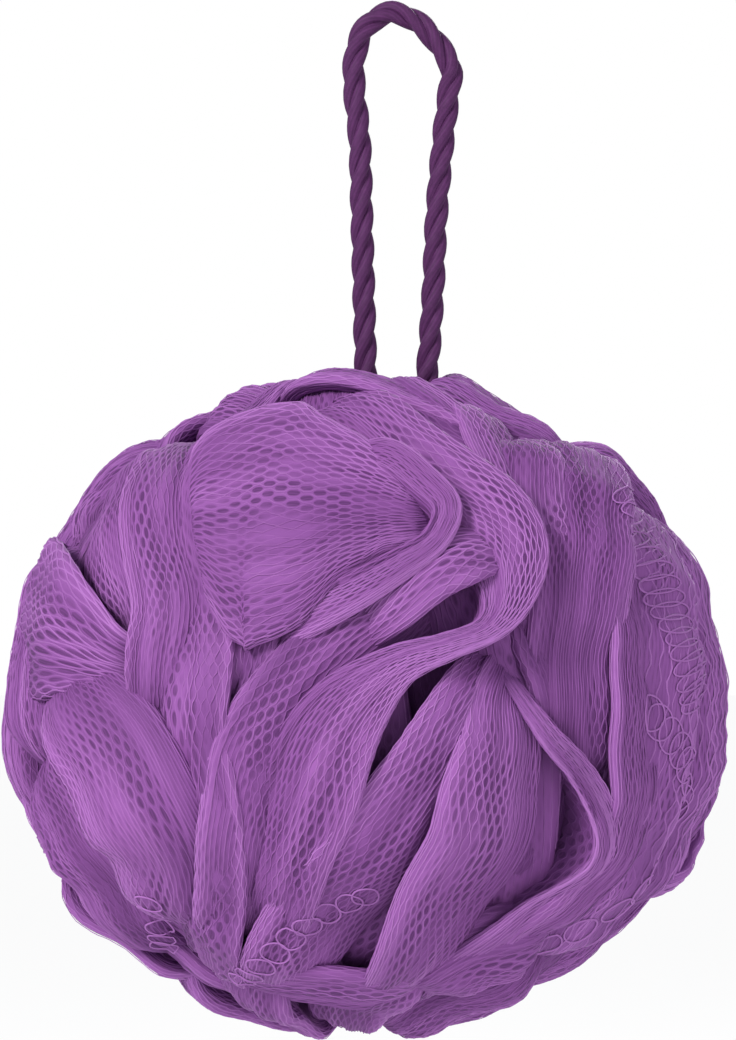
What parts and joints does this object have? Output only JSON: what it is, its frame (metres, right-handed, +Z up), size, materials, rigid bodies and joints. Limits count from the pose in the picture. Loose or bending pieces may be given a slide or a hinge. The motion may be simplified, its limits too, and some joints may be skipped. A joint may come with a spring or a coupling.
{
  "type": "bath loofah",
  "caption": "Ball of gathered plastic net for washing, with a loop of twisted cord to hang it by.",
  "frame": {"origin": "the inside top of the cord's loop, where a hook or tap carries the loofah", "axes": "+Z up along the hanging cord, +X to the right of the front, -Y towards the front of the ball"},
  "size_m": [0.1302, 0.1218, 0.186],
  "materials": {
    "netting": "purple extruded polyethylene net",
    "tie": "dark purple tie",
    "cord": "dark purple twisted fibre cord"
  },
  "bodies": {
    "root": {"netting": "netting", "gather_tie": "tie", "cord_knot": "cord", "hang_cord": "cord"}
  },
  "joints": []
}
